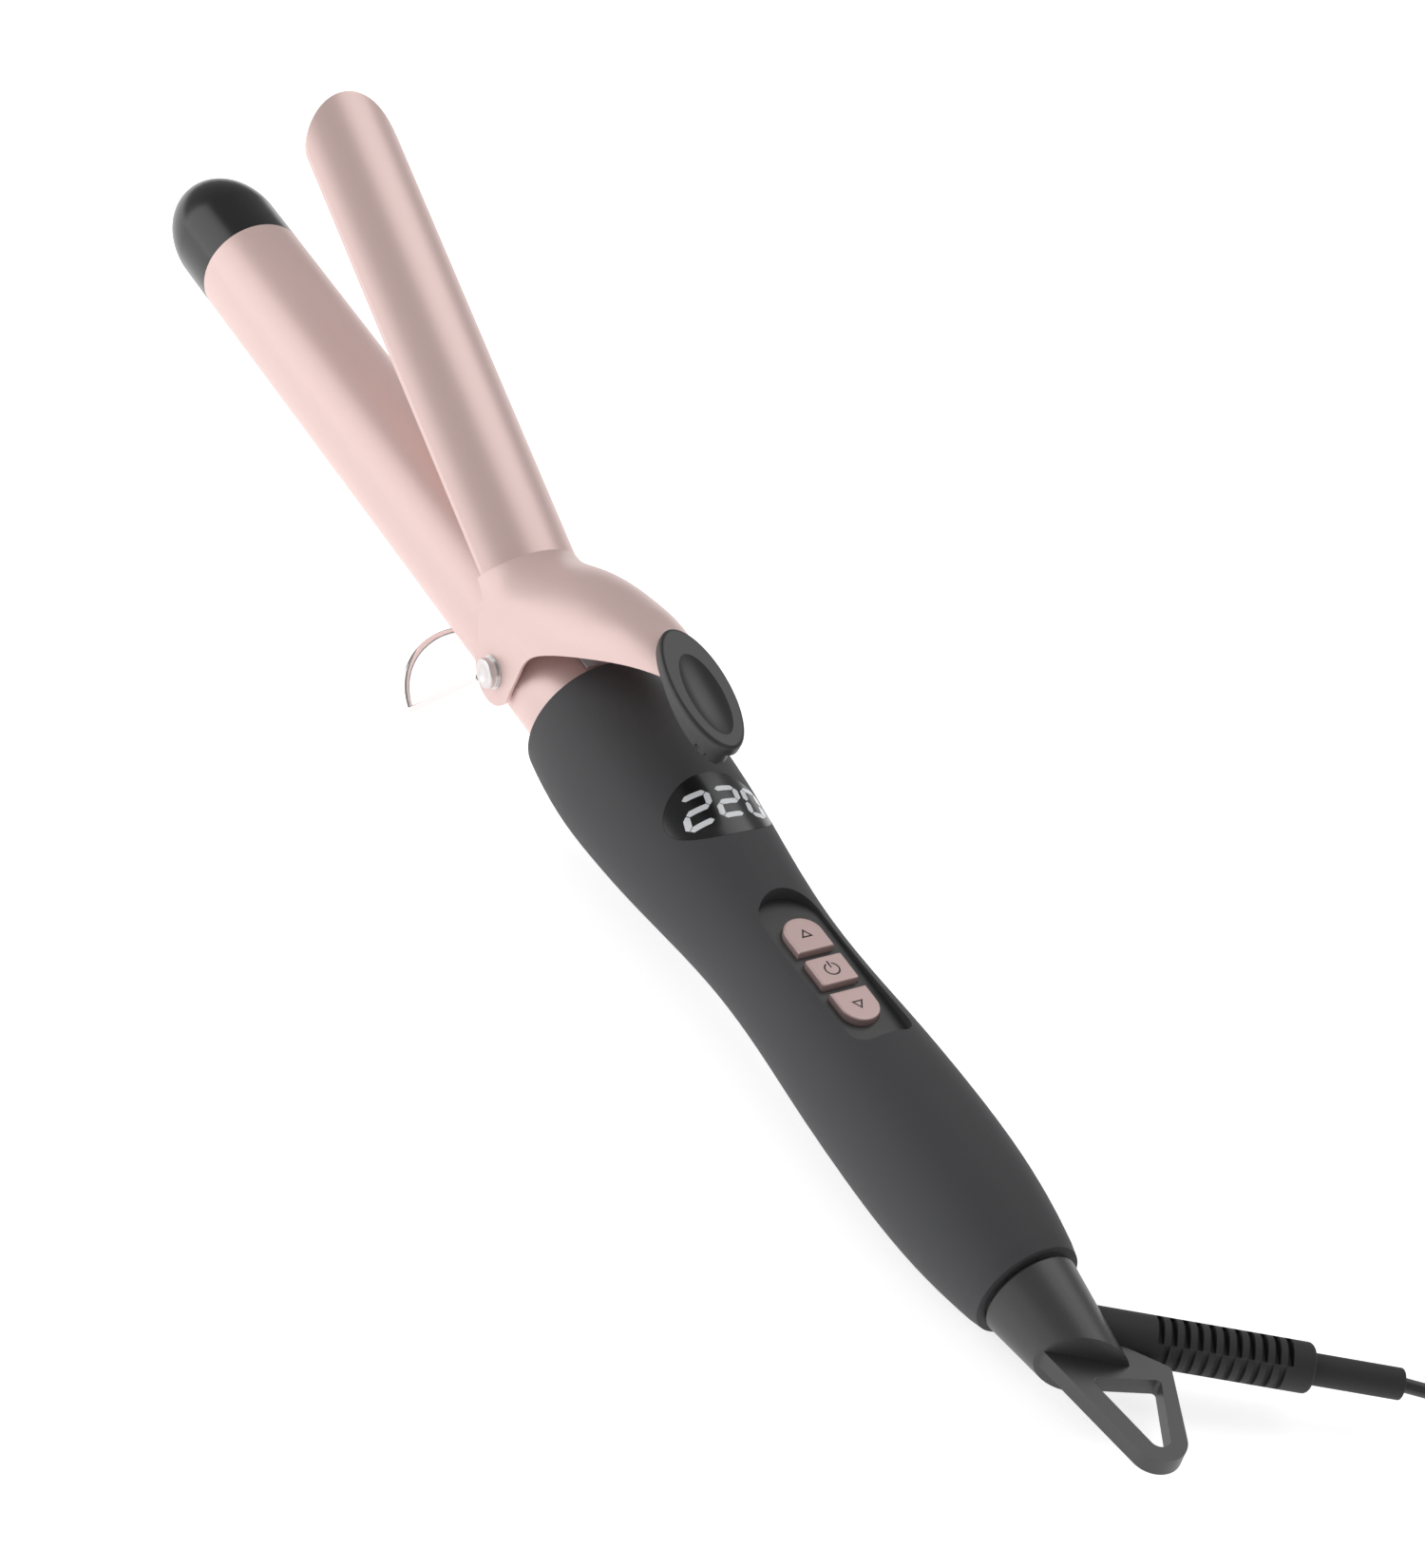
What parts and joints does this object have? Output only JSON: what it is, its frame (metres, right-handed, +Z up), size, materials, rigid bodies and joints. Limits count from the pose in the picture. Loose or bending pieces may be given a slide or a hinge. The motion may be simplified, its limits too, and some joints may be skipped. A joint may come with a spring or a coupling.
{
  "type": "curling wand",
  "caption": "Spring-clip curling wand with digital temperature display, press buttons, fold-out wire stand, swivelling tail with hanging loop, and mains cord.",
  "frame": {"origin": "on the table, at the middle of the wand's length and width without its cord", "axes": "+X along the wand towards the tip, +Y to the wand's left, +Z up; the barrel's axis rises 4.57 degrees towards the tip, as it stands on its wire foot and the handle's belly"},
  "size_m": [0.528, 0.1096, 0.1016],
  "materials": {
    "soft_grip": "soft-touch satin",
    "screen_gloss": "glossy",
    "screen_digits": "lit",
    "satin_rose": "satin",
    "button_rose": "satin",
    "tip_gloss": "glossy",
    "thumb_black": "satin",
    "wire_chrome": "polished",
    "pivot_steel": "turned",
    "spring_steel": "rolled",
    "tail_black": "satin",
    "relief_rubber": "matte",
    "cord_black": "satin",
    "plug_black": "satin",
    "pin_brass": "nickel plated",
    "tie_black": "matte",
    "board_green": "lacquered",
    "part_black": "moulded",
    "spreader_alloy": "extruded",
    "ceramic_white": "fired",
    "film_amber": "film",
    "lead_sleeve": "silicone",
    "contact_brass": "bare",
    "inner_nylon": "moulded"
  },
  "bodies": {
    "handle": {"handle_upper_shell": "soft_grip", "handle_lower_shell": "soft_grip", "handle_screws": "spring_steel", "display_window": "screen_gloss", "display_segments": "screen_digits", "display_module": "part_black", "button_panel": "tail_black", "tact_switches": "part_black", "circuit_board": "board_green", "board_components": "part_black", "barrel_tube": "satin_rose", "tip_cap": "tip_gloss", "barrel_collar": "inner_nylon", "pivot_ring": "pivot_steel", "heat_spreader_upper": "spreader_alloy", "heat_spreader_lower": "spreader_alloy", "heater_ceramics": "ceramic_white", "heater_electrodes": "contact_brass", "heater_insulation": "film_amber", "temperature_sensor": "ceramic_white", "thermal_fuse": "pivot_steel", "heater_leads": "lead_sleeve", "pivot_screws": "pivot_steel", "pivot_washers": "pivot_steel", "clip_spring": "spring_steel", "swivel_bush": "inner_nylon", "contact_fingers": "contact_brass"},
    "clip": {"clip_plate": "satin_rose", "thumb_rest": "thumb_black"},
    "stand": {"stand_wire": "wire_chrome"},
    "tail": {"swivel_tail": "tail_black", "swivel_keeper": "pivot_steel", "contact_rings": "contact_brass", "strain_relief": "relief_rubber", "cord_sleeve": "relief_rubber", "cord": "cord_black", "cord_coil": "cord_black", "coil_tie": "tie_black", "cord_tail": "cord_black", "plug_body": "plug_black", "plug_pins": "pin_brass"},
    "button_up": {"button_up": "button_rose"},
    "button_power": {"button_power": "button_rose"},
    "button_down": {"button_down": "button_rose"}
  },
  "joints": [
    {"name": "clip_hinge", "type": "hinge", "parent": "handle", "child": "clip", "pos_m": [0.02556, 0, 0.02736], "axis": [0, 1, 0], "range_deg": [-5, 22.4], "stiffness_Nm_per_rad": 0.12, "springref_deg": 34.38, "deforming": ["clip_spring"]},
    {"name": "stand_hinge", "type": "hinge", "parent": "handle", "child": "stand", "pos_m": [0.02556, 0, 0.02736], "axis": [0, 1, 0], "range_deg": [0, 105]},
    {"name": "tail_swivel", "type": "hinge", "parent": "handle", "child": "tail", "pos_m": [-0.15926, 0, 0.01259], "axis": [0.9968, 0, 0.0797], "continuous": true},
    {"name": "button_up_press", "type": "slide", "parent": "handle", "child": "button_up", "axis": [0.0797, 0, -0.9968], "range_m": [0, 0.0005], "stiffness_N_per_m": 400, "springref_m": -0.0003},
    {"name": "button_power_press", "type": "slide", "parent": "handle", "child": "button_power", "axis": [0.0797, 0, -0.9968], "range_m": [0, 0.0005], "stiffness_N_per_m": 400, "springref_m": -0.0003},
    {"name": "button_down_press", "type": "slide", "parent": "handle", "child": "button_down", "axis": [0.0797, 0, -0.9968], "range_m": [0, 0.0005], "stiffness_N_per_m": 400, "springref_m": -0.0003}
  ]
}
